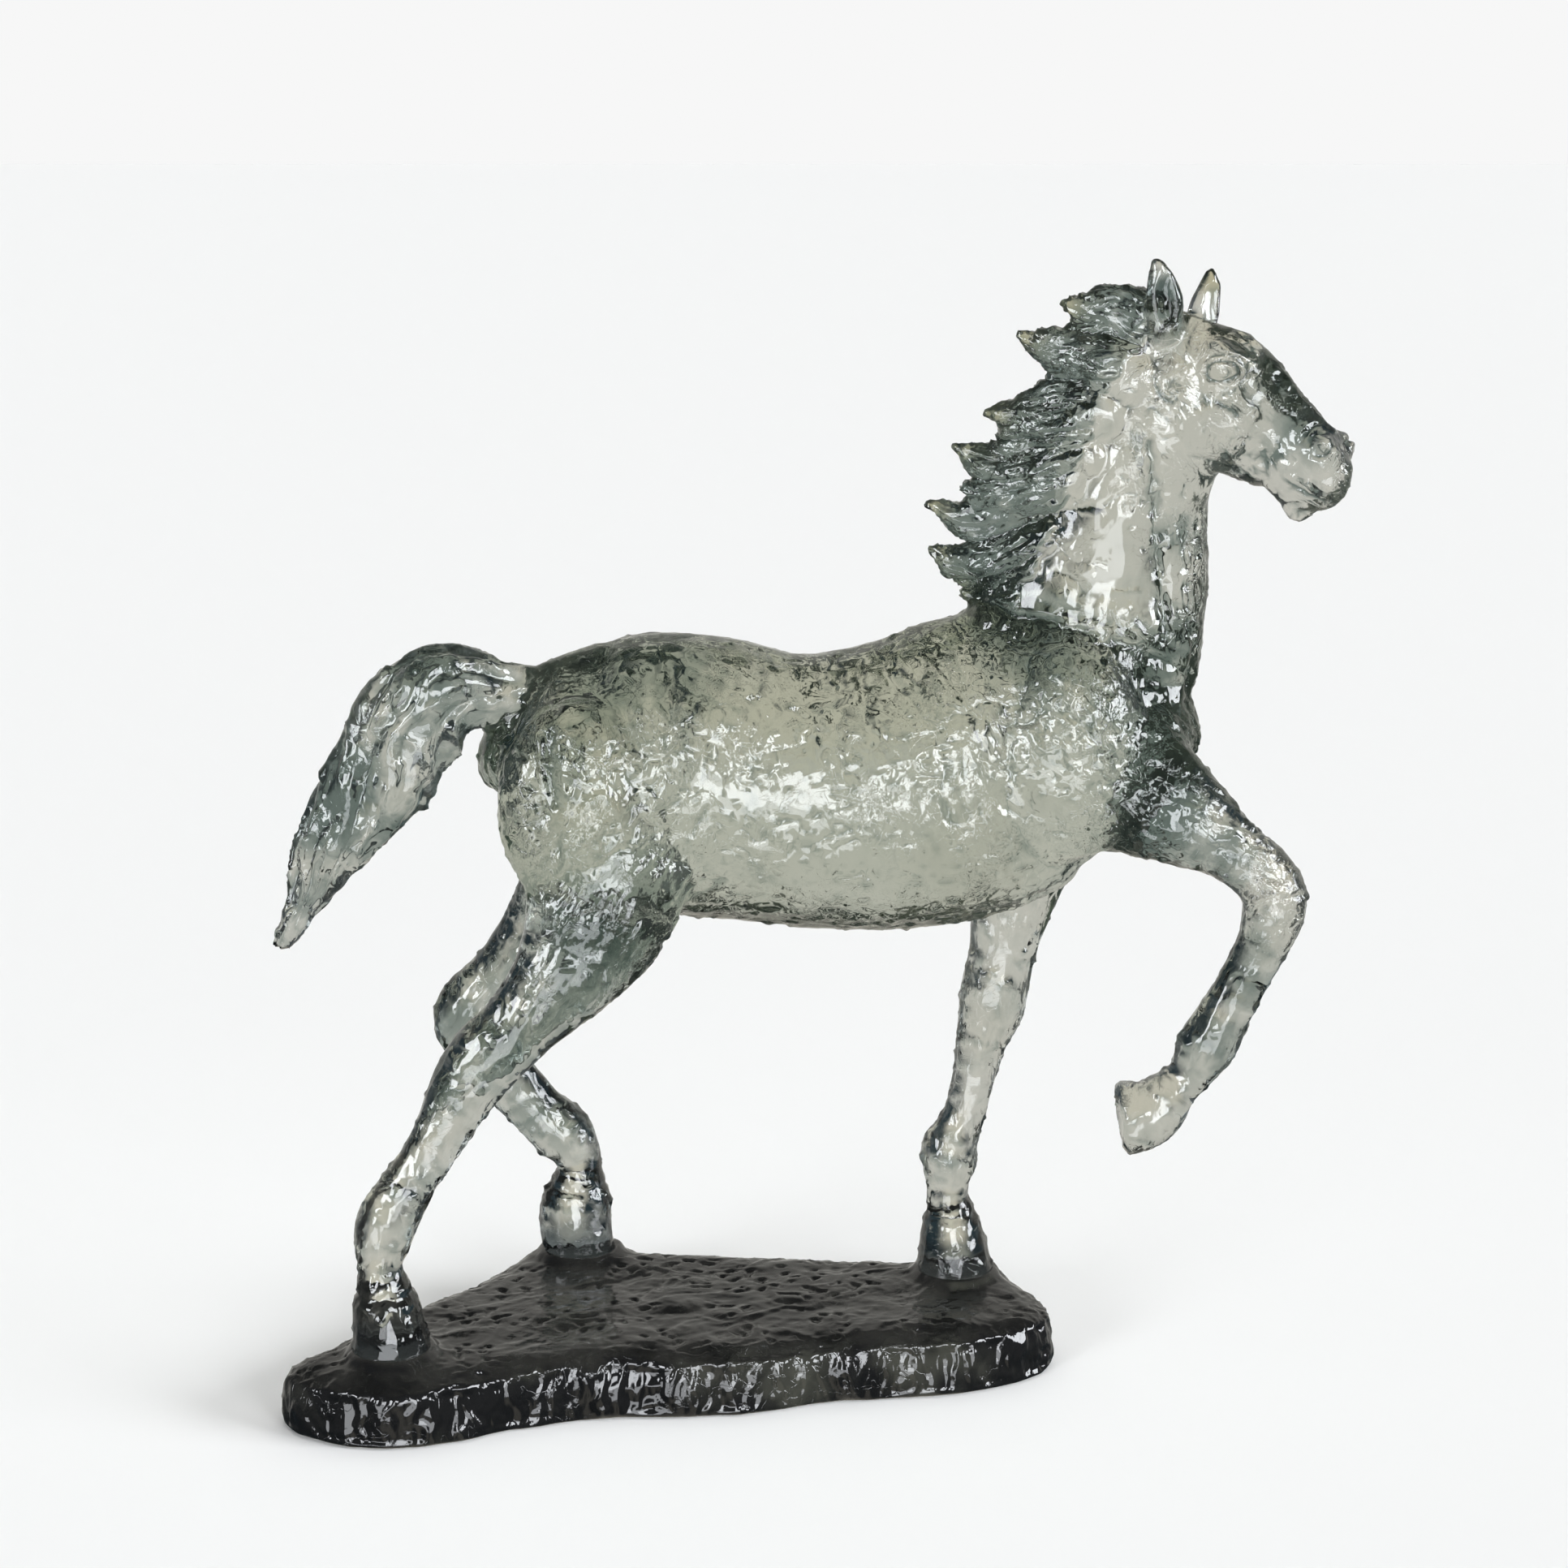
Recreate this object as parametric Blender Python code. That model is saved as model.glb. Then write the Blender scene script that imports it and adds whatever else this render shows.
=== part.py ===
"""A horse cast in clear resin, stepping out with its right foreleg raised, on a dark resin base.

Everything is in metres. +Z is up, +X runs towards the head, the horse's right side faces -Y,
and the origin is on the underside, below the middle of the base.

The figure is a free form, so its pose and its thicknesses are shares of its own height: they
are written in points, and one point is 1/524 of the height from the soles to the ear tips.
A row of a tube is (x, y, z, half its depth, half its width), with z above the soles.
"""

import math

import bmesh
import bpy
import numpy as np
from mathutils import Matrix, Vector, noise

# Driving sizes, in metres
FIGURE_HEIGHT = 0.524
BASE_THICKNESS = 0.036
BASE_RIM_RADIUS = 0.012
BASE_FOOT_RADIUS = 0.004
BASE_OVERHANG = 0.004
PAD_TRIM = 0.0006
SEAT_GAP = 0.0003

POINTS_IN_HEIGHT = 524
POINT = FIGURE_HEIGHT / POINTS_IN_HEIGHT
SOLE_Z = BASE_THICKNESS + SEAT_GAP

# How fine each fusing of the figure is, how often its joins are smoothed, and the faces kept
MASS_GRAIN = 3.2
LIMB_GRAIN = 2.4
FINE_GRAIN = 1.7
MASS_PASSES = 12
LIMB_PASSES = 5
FINE_PASSES = 2
FIGURE_TRIANGLES = 8400
BASE_TRIANGLES = 1200

# The head is turned towards the horse's right and looks down along this slope. What is on it
# is placed by (along, across, up) from the poll, with across towards the horse's left
POLL = (238, -2, 480)
HEAD_TURN = math.radians(29)
HEAD_SLOPE = math.radians(37)

TRUNK = [
    (-69, 4, 283, 22, 26),
    (-59, 4, 283, 46, 43),
    (-37, 6, 276, 63, 54),
    (-8, 8, 274, 69, 60),
    (22, 9, 271, 70, 58),
    (55, 11, 265, 67, 58),
    (90, 13, 264, 70, 60),
    (122, 14, 268, 73, 60),
    (152, 14, 277, 75, 56),
    (184, 12, 289, 68, 50),
    (218, 10, 293, 51, 43),
    (234, 8, 294, 37, 32),
    (240, 7, 295, 20, 22),
]
NECK = [
    (182, 12, 296, 60, 42),
    (192, 12, 314, 60, 40),
    (202, 11, 340, 58, 35),
    (212, 8, 373, 50, 29),
    (218, 4, 402, 42, 26),
    (226, 0, 428, 36, 24),
    (236, -4, 452, 34, 22),
    (241, -7, 472, 26, 19),
]
# A row of the head is (along, up, half its depth, half its width)
HEAD = [
    (0, 0, 20, 15),
    (20, -2, 30, 20),
    (40, -2, 31, 18.5),
    (58, -1, 27.5, 15),
    (74, 1, 22, 13),
    (87, 0, 21, 14),
    (95, 1, 16, 12.5),
]
# Features of each side of the head: (along, across, up), then (half sizes)
HEAD_MASSES = [
    ((33, 13, -11), (20, 8, 18)),
    ((27, 16, 20.5), (11, 5, 4)),
    ((55, 12, 3), (15, 4, 5)),
    ((88, 11, 13), (9, 5, 9)),
]
HEAD_MIDDLE_MASSES = [
    ((94, 0, -18.5), (7, 8, 6.5)),
    ((97, 0, -4), (8, 10, 10)),
]
EYE = (28, 18.5, 13)
EYE_SIZE = (7, 3, 5)
LID_GAP = 2
NOSTRIL = (87, 15.5, 13)
NOSTRIL_SIZE = 3.2
MOUTH = [(68, 12, -9), (80, 14, -11), (92, 12, -11), (102, 6, -10)]
NEAR_HIND = [
    (-22, -28, 262, 42, 24),
    (-28, -34, 228, 39, 22),
    (-34, -38, 210, 34, 19),
    (-43, -41, 194, 28, 17),
    (-56, -43, 177, 21.5, 14.5),
    (-70, -45, 162, 18, 13),
    (-86, -47, 146, 18, 13),
    (-97, -48, 130, 16, 12),
    (-107, -50, 111, 13.2, 10.5),
    (-114, -51, 99, 12, 10),
    (-123, -52, 86, 12, 10),
    (-134, -53, 67, 14.6, 12.5),
    (-138, -54, 52, 12.5, 11.5),
    (-139, -54, 42, 9.5, 10.5),
    (-137, -55, 28, 15, 14.5),
    (-135, -55, 12, 17.2, 17),
    (-134, -55, -8, 20, 19),
]
FAR_HIND = [
    (-36, 48, 240, 36, 22),
    (-44, 50, 212, 31, 20),
    (-56, 54, 188, 26, 17),
    (-71, 57, 166, 23, 15),
    (-87, 60, 149, 20, 13),
    (-104, 63, 131, 20, 13),
    (-98, 64, 114, 17, 12),
    (-86, 66, 96, 15, 10.5),
    (-71, 67, 78, 14.2, 10.5),
    (-58, 68, 65, 15.5, 12.5),
    (-51, 69, 54, 11.6, 11),
    (-50, 69, 45, 11, 10.5),
    (-51, 70, 34, 16.5, 14.5),
    (-53, 70, 17, 18.5, 17),
    (-50, 70, -8, 17.5, 17),
]
FAR_FORE = [
    (190, 38, 262, 34, 20),
    (182, 40, 236, 28, 18),
    (175, 42, 214, 23.5, 16),
    (170, 43, 188, 18.8, 14.5),
    (167, 43, 170, 16.5, 13.5),
    (163, 43, 150, 16.5, 14),
    (162, 43, 140, 16, 13.5),
    (158, 43, 127, 13, 11.5),
    (154, 43, 106, 10.4, 10),
    (149, 43, 84, 10.2, 10),
    (142, 43, 68, 13.6, 12),
    (142, 43, 59, 14, 12.5),
    (141, 43, 47, 10.2, 10.5),
    (141, 43, 40, 10, 10.5),
    (143, 43, 30, 13.5, 13.5),
    (144, 43, 18, 16.2, 16.5),
    (146, 43, -8, 21, 20),
]
NEAR_FORE = [
    (205, -16, 284, 38, 20),
    (224, -22, 274, 33, 19),
    (240, -28, 265, 27, 17),
    (255, -32, 256, 21, 15),
    (270, -35, 246, 15.5, 12.5),
    (284, -37, 235, 14.5, 12),
    (290, -38, 225, 15, 13),
    (289, -38, 213, 14, 12),
    (286, -38, 202, 12.2, 10.5),
    (280, -37, 189, 11.5, 10),
    (273, -36, 174, 11.5, 9.5),
    (266, -35, 160, 12.8, 10.5),
    (261, -34, 149, 14, 12),
    (256, -33, 139, 12, 10),
    (252, -32, 130, 8.8, 9.5),
    (245, -32, 125, 11.5, 12),
    (236, -32, 114, 15.4, 15),
    (220, -32, 110.5, 18.5, 17),
]
TAIL = [
    (-28, 6, 317, 21, 20),
    (-48, 4, 314, 17.5, 15),
    (-64, 3, 311, 14.5, 12),
    (-75, 1, 314, 15, 13),
    (-86, -1, 317, 17.5, 14),
    (-98, -3, 317, 21, 16),
    (-111, -5, 313, 25.5, 17),
    (-121, -6, 304, 27, 17),
    (-130, -7, 288, 26, 16),
    (-140, -8, 271, 24.5, 15),
    (-151, -8, 255, 22, 14),
    (-162, -8, 240, 17, 12),
    (-171, -8, 222, 11.5, 8.5),
    (-180, -7, 206, 7.5, 6),
    (-188, -6, 192, 4, 3.5),
]
NEAR_EAR = [
    (233, -17, 485, 8, 6),
    (232, -19, 494, 8, 6),
    (231, -21, 504, 8.5, 5),
    (229, -22, 513, 7, 4),
    (227, -22, 521, 3, 2.5),
]
FAR_EAR = [
    (250, 5, 484, 8, 6),
    (252, 6, 492, 8, 5.5),
    (254, 7, 500, 7.5, 5),
    (256, 8, 508, 5.5, 4),
    (256, 8, 515, 2.5, 2),
]

LEGS = (NEAR_HIND, FAR_HIND, FAR_FORE, NEAR_FORE)

# What the blending takes off a thin limb all round
BLEND_LOSS = 0.8

# Rounded masses under the skin: (centre), (half sizes along, across and up)
MASSES = [
    ((-37, -32, 266), (43, 26, 54)),
    ((-36, 42, 262), (40, 26, 50)),
    ((194, -24, 290), (36, 20, 52)),
    ((190, 46, 286), (34, 18, 48)),
    ((232, -8, 294), (20, 19, 24)),
    ((228, 24, 290), (19, 18, 24)),
]

# The hair behind the crest that the locks stand out of, as (x, z, half depth, half width)
MANE_SHEET = [
    (216, 490, 13, 9),
    (204, 470, 18, 10),
    (180, 440, 19, 10),
    (165, 415, 19, 10),
    (161, 392, 18, 10),
    (163, 370, 17, 10),
]
# Each long lock of the mane as (x, z) at its root, its middle, its belly and its tip
MANE_LOCKS = [
    ((230, 488), (212, 497), (199, 498), (186, 501)),
    ((220, 476), (194, 479), (181, 481), (166, 486)),
    ((210, 458), (184, 452), (168, 449), (152, 450)),
    ((202, 440), (170, 427), (153, 426), (137, 434)),
    ((192, 417), (160, 402), (143, 399), (126, 406)),
    ((184, 397), (156, 380), (140, 377), (127, 384)),
    ((178, 380), (165, 368), (153, 363), (142, 362)),
]
LOCK_DEPTHS = (16, 13.5, 10, 2.5)
LOCK_WIDTHS = (14, 10, 7, 2.5)
LOCK_LEANS = (0, 0, 0, 0)
# The short locks lie between the long ones, a little out from the crest on each side
SHORT_LOCKS = [
    ((218, 466), (200, 474), (181, 474)),
    ((208, 450), (184, 442), (161, 443)),
    ((200, 432), (172, 420), (146, 426)),
    ((192, 420), (166, 412), (142, 414)),
    ((184, 392), (160, 378), (138, 381)),
    ((178, 376), (168, 362), (156, 356)),
]
SHORT_DEPTHS = (12, 9, 3)
SHORT_WIDTHS = (8, 6, 3)
SHORT_LEANS = (13, 9, 3)

# Where two muscles meet: lines (x, z) pressed into both sides of the body
MUSCLE_LINES = [
    [(236, 338), (224, 304), (228, 280)],
    [(172, 330), (160, 290), (170, 252)],
    [(20, 300), (6, 265), (10, 232)],
    [(-50, 305), (-55, 262), (-56, 228)],
    [(226, 432), (230, 385), (240, 345)],
]
MUSCLE_LINE_WIDTH = 8.5
MUSCLE_LINE_DEPTH = 2.6

# The tail is a twist of strands
TAIL_STRANDS = 4
TAIL_TWIST = math.radians(150)
STRAND_CUT_WIDTH = 3.2
STRAND_CUT_DEPTH = 3.4

CURVE_GAP = 5
RING_SIDES = 20


def along(rows, gap=CURVE_GAP):
    """Rows a gap apart on one smooth curve through the given rows."""
    rows = np.array(rows, float)
    padded = np.vstack([2 * rows[0] - rows[1], rows, 2 * rows[-1] - rows[-2]])
    found = []
    for p0, p1, p2, p3 in zip(padded, padded[1:], padded[2:], padded[3:]):
        steps = max(1, round(np.linalg.norm(p2[:3] - p1[:3]) / gap))
        for t in np.arange(steps) / steps:
            bend = 2 * p0 - 5 * p1 + 4 * p2 - p3
            twist = 3 * (p1 - p2) + p3 - p0
            found.append(0.5 * (2 * p1 + (p2 - p0) * t + bend * t**2 + twist * t**3))
    found.append(rows[-1])
    return np.array(found)


def unit(vector):
    return vector / np.linalg.norm(vector)


def tube(rows, side=(0, 1, 0), flat_end=False, grow=0.0):
    """A closed skin round the rows, with an oval section across the curve and rounded ends."""
    rows = along(rows)
    rows[:, 3:] += grow
    tangents = np.gradient(rows[:, :3], axis=0)
    angles = np.arange(RING_SIDES) * 2 * math.pi / RING_SIDES
    first, last = rows[0], rows[-1]
    caps = np.radians([75, 50, 25])
    rings = []

    def ring(row, tangent, shrink=1.0, shift=0.0):
        ahead = unit(tangent)
        across = unit(np.array(side, float) - ahead * np.dot(ahead, side))
        up = np.cross(ahead, across)
        centre = row[:3] + ahead * shift * min(row[3], row[4])
        for angle in angles:
            rings.append(
                centre
                + up * row[3] * shrink * math.cos(angle)
                + across * row[4] * shrink * math.sin(angle)
            )

    for cap in caps:
        ring(first, tangents[0], math.cos(cap), -math.sin(cap))
    for row, tangent in zip(rows, tangents):
        ring(row, tangent)
    if not flat_end:
        for cap in caps[::-1]:
            ring(last, tangents[-1], math.cos(cap), math.sin(cap))
    return closed_rings(np.array(rings))


def closed_rings(points, sides=RING_SIDES):
    """Faces between neighbouring rings, with one face over each end."""
    faces = []
    for start in range(0, len(points) - sides, sides):
        for s in range(sides):
            a, b = start + s, start + (s + 1) % sides
            faces.append((a, b, b + sides, a + sides))
    faces.append(tuple(range(sides))[::-1])
    faces.append(tuple(range(len(points) - sides, len(points))))
    return points, faces


def ball(centre, half_sizes):
    """An upright oval mass."""
    along_x, across_y, up_z = half_sizes
    slices = np.radians(np.arange(-75, 76, 15))
    rows = []
    for angle in slices:
        for turn in np.arange(RING_SIDES) * 2 * math.pi / RING_SIDES:
            rows.append(
                (
                    centre[0] + along_x * math.cos(angle) * math.cos(turn),
                    centre[1] + across_y * math.cos(angle) * math.sin(turn),
                    centre[2] + up_z * math.sin(angle),
                )
            )
    return closed_rings(np.array(rows))


def made_object(name, shapes):
    """One mesh object holding every shape."""
    points, faces = [], []
    for shape_points, shape_faces in shapes:
        start = len(points)
        points.extend(map(tuple, shape_points))
        faces.extend(tuple(start + i for i in face) for face in shape_faces)
    mesh = bpy.data.meshes.new(name)
    mesh.from_pydata(points, [], faces)
    mesh.validate()
    shape = bpy.data.objects.new(name, mesh)
    bpy.context.scene.collection.objects.link(shape)
    return shape


def settled(shape):
    """Replaces an object's mesh with what its modifiers make of it."""
    bpy.context.view_layer.update()
    graph = bpy.context.evaluated_depsgraph_get()
    mesh = bpy.data.meshes.new_from_object(shape.evaluated_get(graph))
    shape.modifiers.clear()
    shape.data = mesh
    return shape


def fused(name, shapes, grain, passes):
    """The shapes as one skin, with every join blended by smoothing."""
    shape = made_object(name, shapes)
    remesh = shape.modifiers.new("one skin", "REMESH")
    remesh.mode = "VOXEL"
    remesh.voxel_size = grain
    smooth = shape.modifiers.new("blend", "SMOOTH")
    smooth.iterations = passes
    settled(shape)
    points = np.array([v.co for v in shape.data.vertices])
    faces = [tuple(p.vertices) for p in shape.data.polygons]
    bpy.data.objects.remove(shape)
    return points, faces


def head_axes():
    """The head's own directions: along its length, across to the horse's left, and up."""
    turn, slope = HEAD_TURN, HEAD_SLOPE
    along_head = (math.cos(slope) * math.cos(turn), -math.cos(slope) * math.sin(turn), -math.sin(slope))
    across = (math.sin(turn), math.cos(turn), 0)
    up = (math.sin(slope) * math.cos(turn), -math.sin(slope) * math.sin(turn), math.cos(slope))
    return np.array((along_head, across, up))


def on_head(place, side=1):
    """A place of the head in the figure's frame, on the left side, or the right where side is -1."""
    return np.array(POLL) + np.multiply(place, (1, side, 1)) @ head_axes()


def head_rows():
    return [(*on_head((ahead, 0, up)), deep, wide) for ahead, up, deep, wide in HEAD]


def head_ball(centre, half_sizes, side=1):
    points, faces = ball((0, 0, 0), half_sizes)
    return on_head(centre, side) + points @ head_axes(), faces


def head_masses():
    sides = [head_ball(*mass, side) for mass in HEAD_MASSES for side in (-1, 1)]
    return sides + [head_ball(*mass) for mass in HEAD_MIDDLE_MASSES]


def lock(places, depths, widths, leans, side=1):
    """A lock of the mane, thick at its root by the crest and hooked at its tip."""
    heights, middles = [row[2] for row in NECK], [row[1] for row in NECK]
    rows = []
    for (x, z), depth, width, lean in zip(places, depths, widths, leans):
        rows.append((x, np.interp(z, heights, middles) + side * lean, z, depth, width))
    return tube(rows)


def mane():
    """A sheet of hair with long hooked locks, and short ones on each side between them."""
    places, depths, widths = zip(*(((x, z), deep, wide) for x, z, deep, wide in MANE_SHEET))
    locks = [lock(places, depths, widths, (0,) * len(places))]
    for places in MANE_LOCKS:
        locks.append(lock(places, LOCK_DEPTHS, LOCK_WIDTHS, LOCK_LEANS))
    for side in (-1, 1):
        for places in SHORT_LOCKS:
            locks.append(lock(places, SHORT_DEPTHS, SHORT_WIDTHS, SHORT_LEANS, side))
    return locks


def outward(points, faces):
    """Unit normals of a mesh, one to a point."""
    points = np.asarray(points)
    normals = np.zeros_like(points)
    corners = np.array([face[:3] for face in faces])
    a, b, c = (points[corners[:, i]] for i in range(3))
    across = np.cross(b - a, c - a)
    for i in range(3):
        np.add.at(normals, corners[:, i], across)
    return normals / np.maximum(np.linalg.norm(normals, axis=1), 1e-9)[:, None]


def distance_to(points, path):
    """How far each point is from a line through the path's places."""
    nearest = np.full(len(points), np.inf)
    for start, end in zip(path[:-1], path[1:]):
        run = end - start
        share = np.clip((points - start) @ run / np.dot(run, run), 0, 1)
        gap = np.linalg.norm(points - start - share[:, None] * run, axis=1)
        nearest = np.minimum(nearest, gap)
    return nearest


def ring_round(centre, radius):
    """A level ring round a place."""
    turns = np.linspace(0, 2 * math.pi, 25)
    spokes = np.stack([np.cos(turns), np.sin(turns), 0 * turns], axis=1)
    return np.array(centre) + radius * spokes


def cuts():
    """Every line carved into the figure: (path, half width, depth)."""
    found = []
    for side in (-1, 1):
        eye = on_head(EYE, side)
        length, _, height = np.add(EYE_SIZE, LID_GAP)
        turns = np.linspace(math.radians(-20), math.radians(200), 13)
        lid = np.stack([length * np.cos(turns), 0 * turns, height * np.sin(turns)], axis=1)
        found.append((eye + lid @ head_axes(), 1.7, 1.8))
        nostril = on_head(NOSTRIL, side)
        found.append((np.array([nostril, nostril + 3 * head_axes()[0]]), NOSTRIL_SIZE, 4))
        found.append((np.array([on_head(place, side) for place in MOUTH]), 1.5, 2))
    for leg in (NEAR_HIND, FAR_HIND, FAR_FORE):
        x, y, z, deep, wide = leg[-3]
        found.append((ring_round((x, y, z + 3), (deep + wide) / 2 - 1), 2, 1.5))
    return found


def tail_cuts():
    """The grooves between the strands, wound round the tail from its dock to near its tip."""
    rows = along(TAIL)
    rows = rows[(rows[:, 0] < TAIL[3][0]) & (rows[:, 0] > TAIL[-2][0])]
    tangents = np.gradient(rows[:, :3], axis=0)
    found = []
    for strand in range(TAIL_STRANDS):
        path = []
        for step, (row, tangent) in enumerate(zip(rows, tangents)):
            turn = 2 * math.pi * strand / TAIL_STRANDS + TAIL_TWIST * step / len(rows)
            across = np.array((0, 1, 0))
            up = unit(np.cross(tangent, across))
            path.append(row[:3] + up * row[3] * math.cos(turn) + across * row[4] * math.sin(turn))
        found.append((np.array(path), STRAND_CUT_WIDTH, STRAND_CUT_DEPTH))
    return found


def carved(skin):
    """The skin with the muscle lines and the carved lines pressed into it."""
    points, faces = skin
    for line in MUSCLE_LINES:
        normals = outward(points, faces)
        path = along([(x, 0, z, 0, 0) for x, z in line])[:, :3]
        gaps = np.linalg.norm((points * (1, 0, 1))[:, None] - path[None], axis=2)
        # The line fades out towards both its ends
        depths = MUSCLE_LINE_DEPTH * np.sin(np.linspace(0, math.pi, len(path)))
        presses = (depths * np.exp(-((gaps / MUSCLE_LINE_WIDTH) ** 2))).max(axis=1)
        points = points - normals * (presses * normals[:, 1] ** 2)[:, None]
    for path, half_width, depth in cuts() + tail_cuts():
        normals = outward(points, faces)
        share = np.exp(-((distance_to(points, path) / half_width) ** 2))
        points = points - normals * (depth * share)[:, None]
    return points, faces


def horse_skin():
    """The whole figure as one skin, in points above the soles."""
    masses = [tube(TRUNK), tube(NECK)] + [ball(*mass) for mass in MASSES]
    body = fused("masses", masses, MASS_GRAIN, MASS_PASSES)
    turned = (math.sin(HEAD_TURN), math.cos(HEAD_TURN), 0)
    limbs = [tube(rows, flat_end=True, grow=BLEND_LOSS) for rows in LEGS]
    head = [tube(head_rows(), turned)] + head_masses()
    tail = tube(TAIL, grow=STRAND_CUT_DEPTH / 3)
    body = fused("limbs", [body, tail] + head + limbs, LIMB_GRAIN, LIMB_PASSES)
    details = [tube(NEAR_EAR), tube(FAR_EAR)] + mane()
    details += [head_ball(EYE, EYE_SIZE, side) for side in (-1, 1)]
    return carved(fused("details", [body] + details, FINE_GRAIN, FINE_PASSES))


def thinned(shape, triangles):
    """Fewer faces, kept where the form turns most."""
    count = sum(len(p.vertices) - 2 for p in shape.data.polygons)
    decimate = shape.modifiers.new("fewer faces", "DECIMATE")
    decimate.ratio = min(1, triangles / count)
    return settled(shape)


def cut_flat(shape, height, keep_above):
    """Cuts the object flat at a height and closes the cut."""
    work = bmesh.new()
    work.from_mesh(shape.data)
    cut = bmesh.ops.bisect_plane(
        work,
        geom=work.verts[:] + work.edges[:] + work.faces[:],
        plane_co=(0, 0, height),
        plane_no=(0, 0, 1),
        clear_inner=keep_above,
        clear_outer=not keep_above,
    )
    rim = [e for e in cut["geom_cut"] if isinstance(e, bmesh.types.BMEdge)]
    bmesh.ops.holes_fill(work, edges=rim, sides=0)
    bmesh.ops.triangulate(work, faces=work.faces[:])
    work.to_mesh(shape.data)
    work.free()


def resin(name, colour, roughness, transmission):
    material = bpy.data.materials.new(name)
    material.use_nodes = True
    shader = material.node_tree.nodes["Principled BSDF"]
    shader.inputs["Base Color"].default_value = (*colour, 1)
    shader.inputs["Roughness"].default_value = roughness
    shader.inputs["Transmission Weight"].default_value = transmission
    shader.inputs["IOR"].default_value = 1.5
    material.diffuse_color = (*colour, 1)
    return material


def make_horse():
    horse = made_object("horse", [horse_skin()])
    thinned(horse, FIGURE_TRIANGLES)
    horse.data.transform(Matrix.Translation((0, 0, SOLE_Z)) @ Matrix.Scale(POINT, 4))
    cut_flat(horse, SOLE_Z, keep_above=True)
    horse.data.materials.append(resin("clear resin", (0.80, 0.84, 0.80), 0.05, 1.0))
    horse.data.shade_smooth()
    return horse


# The base's outline, as steps (x, y) from the hoof, or from midway between two hooves
NEAR_HIND_HOOF, FAR_HIND_HOOF, FAR_FORE_HOOF = (
    np.array(leg[-1][:2], float) for leg in (NEAR_HIND, FAR_HIND, FAR_FORE)
)
NEAR_SIDE = (NEAR_HIND_HOOF + FAR_FORE_HOOF) / 2
FAR_SIDE = (FAR_HIND_HOOF + FAR_FORE_HOOF) / 2
BASE_OUTLINE = [
    (NEAR_HIND_HOOF, [(-52, -2), (-47, -13), (-36, -23), (-7, -33), (28, -28), (54, -15)]),
    (NEAR_SIDE, [(-40, -50), (2, -48), (40, -43)]),
    (FAR_FORE_HOOF, [(-70, -81), (-40, -77), (-2, -71), (33, -55), (45, -38), (40, -20)]),
    (FAR_FORE_HOOF, [(29, 1), (16, 17), (-6, 23), (-40, 24)]),
    (FAR_SIDE, [(-20, 19)]),
    (FAR_HIND_HOOF, [(30, 9), (0, 21), (-25, 13), (-43, -16)]),
    (NEAR_HIND_HOOF, [(19, 79), (-7, 51), (-25, 25), (-39, 9)]),
]
# The top lies lower than the pads under the hooves and is uneven by this much over lumps of
# this size, and the sides over ripples of this width and height, all in points
TOP_UNEVEN = 1.8
TOP_SINK = 0.8
TOP_LUMPS = 22
SIDE_UNEVEN = 1.5
SIDE_RIPPLES = 14
SIDE_RIPPLE_HEIGHT = 33
OUTLINE_GAP = 6
PAD_RADIUS = 21
PAD_FADE = 14
BASE_GRAIN = 2.6
BASE_PASSES = 3


def base_outline():
    """The outline at its widest, in points, as a smooth closed curve run counterclockwise."""
    corners = [anchor + step for anchor, steps in BASE_OUTLINE for step in steps]
    closed = np.array(corners[-2:] + corners + corners[:3])
    rows = np.column_stack([closed, np.zeros((len(closed), 3))])
    curve = along(rows, OUTLINE_GAP)[:, :2]
    first = np.argmin(np.linalg.norm(curve - corners[0], axis=1))
    last = len(curve) - 1 - np.argmin(np.linalg.norm(curve[::-1] - corners[0], axis=1))
    return curve[first:last]


def base_slab():
    """The slab with rounded rim and foot, a little over its true height at both faces."""
    outline = base_outline() * POINT
    ahead = np.roll(outline, -1, axis=0) - np.roll(outline, 1, axis=0)
    ahead /= np.linalg.norm(ahead, axis=1)[:, None]
    out = np.column_stack([ahead[:, 1], -ahead[:, 0]])
    rim, foot = BASE_RIM_RADIUS, BASE_FOOT_RADIUS
    profile = [(foot, -foot / 2)]
    for angle in np.radians([0, 45, 90]):
        profile.append((foot * (1 - math.sin(angle)), foot * (1 - math.cos(angle))))
    for angle in np.radians([0, 25, 50, 75]):
        height = BASE_THICKNESS - rim * (1 - math.sin(angle))
        profile.append((rim * (1 - math.cos(angle)), height))
    profile.append((rim, BASE_THICKNESS + PAD_TRIM))
    count = len(outline)
    points = [
        (*(place + away * (BASE_OVERHANG - inset)), height)
        for inset, height in profile
        for place, away in zip(outline, out)
    ]
    return closed_rings(np.array(points), count)


def base_skin():
    """The slab with hand-worked top and sides, and a flat pad under each hoof."""
    points, faces = fused("slab", [base_slab()], BASE_GRAIN * POINT, BASE_PASSES)
    normals = outward(points, faces)
    hooves = np.array((NEAR_HIND_HOOF, FAR_HIND_HOOF, FAR_FORE_HOOF)) * POINT
    gaps = np.linalg.norm(points[:, None, :2] - hooves[None], axis=2).min(axis=1) / POINT
    pad = np.clip(1 - (gaps - PAD_RADIUS) / PAD_FADE, 0, 1)
    for n, (point, normal) in enumerate(zip(points, normals)):
        place = Vector(point / POINT)
        drop = TOP_UNEVEN * POINT * (TOP_SINK + noise.noise(place / TOP_LUMPS))
        points[n, 2] -= (PAD_TRIM + drop) * (1 - pad[n]) * max(0, normal[2])
        place = Vector((*place.xy / SIDE_RIPPLES, place.z / SIDE_RIPPLE_HEIGHT))
        points[n, :2] += normal[:2] * SIDE_UNEVEN * POINT * noise.noise(place)
    return points, faces


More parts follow.
